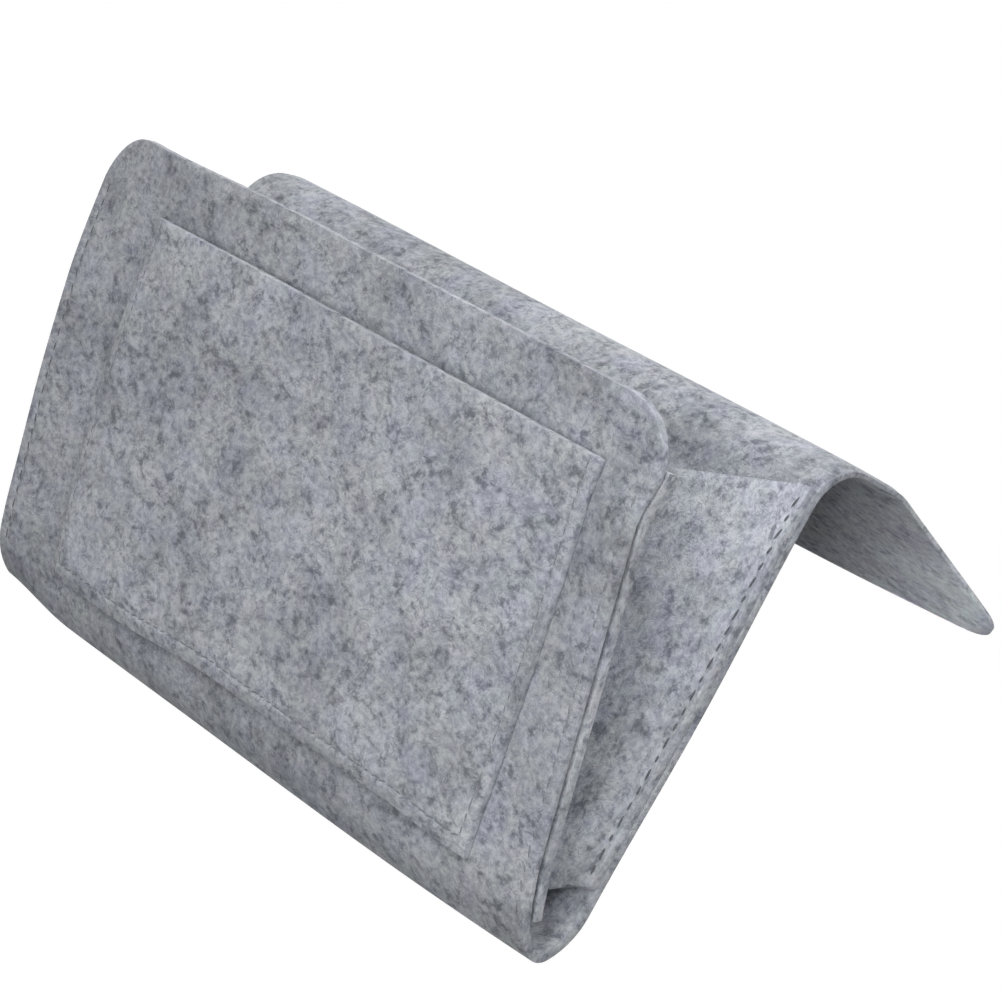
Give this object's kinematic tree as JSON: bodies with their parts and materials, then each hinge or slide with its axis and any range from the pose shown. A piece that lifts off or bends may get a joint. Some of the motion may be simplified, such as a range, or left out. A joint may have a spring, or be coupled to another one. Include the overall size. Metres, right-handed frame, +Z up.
{
  "type": "bedside caddy",
  "caption": "Folded felt bedside caddy: a deep pocket with V-folded side gussets and a sewn patch pocket hangs from a flap that tucks under a mattress.",
  "frame": {"origin": "middle of the flat stretch of the mattress flap, on its top face", "axes": "+X along the width, to the right seen from the front; front towards -Y; +Z up, along the back panel"},
  "size_m": [0.323, 0.1868, 0.1801],
  "materials": {
    "felt": "mottled light grey melange felt, matte",
    "thread": "dark grey sewing thread, matte"
  },
  "bodies": {
    "flap": {"mattress_flap": "felt", "ridge_roll_flap": "felt"},
    "back": {"ridge_roll_back": "felt", "back_panel": "felt", "bottom_roll_back": "felt", "gusset_left_back_hem": "felt", "gusset_right_back_hem": "felt", "gusset_left_back_needle_thread": "thread", "gusset_left_back_bobbin_thread": "thread", "gusset_right_back_needle_thread": "thread", "gusset_right_back_bobbin_thread": "thread"},
    "front": {"bottom_roll_front": "felt", "front_panel": "felt", "patch_pocket": "felt", "pocket_needle_thread": "thread", "pocket_bobbin_thread": "thread", "gusset_left_front_hem": "felt", "gusset_right_front_hem": "felt", "gusset_left_front_needle_thread": "thread", "gusset_left_front_bobbin_thread": "thread", "gusset_right_front_needle_thread": "thread", "gusset_right_front_bobbin_thread": "thread"},
    "left_back_wing": {"gusset_left_back_wing": "felt"},
    "right_back_wing": {"gusset_right_back_wing": "felt"},
    "left_front_wing": {"gusset_left_front_wing": "felt"},
    "right_front_wing": {"gusset_right_front_wing": "felt"}
  },
  "joints": [
    {"name": "ridge_fold", "type": "hinge", "parent": "flap", "child": "back", "pos_m": [0, -0.08116, 0.00848], "axis": [-1, 0, 0], "range_deg": [-50, 110], "stiffness_Nm_per_rad": 0.4, "springref_deg": 5.04},
    {"name": "bottom_fold", "type": "hinge", "parent": "back", "child": "front", "pos_m": [0, -0.09545, -0.16378], "axis": [1, 0, 0], "range_deg": [-14, 10], "stiffness_Nm_per_rad": 0.4, "springref_deg": -3.38},
    {"name": "left_back_wing_fold", "type": "hinge", "parent": "back", "child": "left_back_wing", "pos_m": [-0.154, -0.0908, -0.07378], "axis": [0, 0, -1], "range_deg": [-19, 13.6]},
    {"name": "right_back_wing_fold", "type": "hinge", "parent": "back", "child": "right_back_wing", "pos_m": [0.154, -0.0908, -0.07378], "axis": [0, 0, 1], "range_deg": [-19, 13.6]},
    {"name": "left_front_wing_fold", "type": "hinge", "parent": "front", "child": "left_front_wing", "pos_m": [-0.154, -0.09991, -0.16509], "axis": [0, -0.2807, 0.9598], "range_deg": [-19, 13.6]},
    {"name": "right_front_wing_fold", "type": "hinge", "parent": "front", "child": "right_front_wing", "pos_m": [0.154, -0.09991, -0.16509], "axis": [0, 0.2807, -0.9598], "range_deg": [-19, 13.6]}
  ],
  "couplings": [
    {"joint": "left_back_wing_fold", "follows": "bottom_fold", "ratio": 1.35},
    {"joint": "right_back_wing_fold", "follows": "bottom_fold", "ratio": 1.35},
    {"joint": "left_front_wing_fold", "follows": "bottom_fold", "ratio": 1.35},
    {"joint": "right_front_wing_fold", "follows": "bottom_fold", "ratio": 1.35}
  ]
}
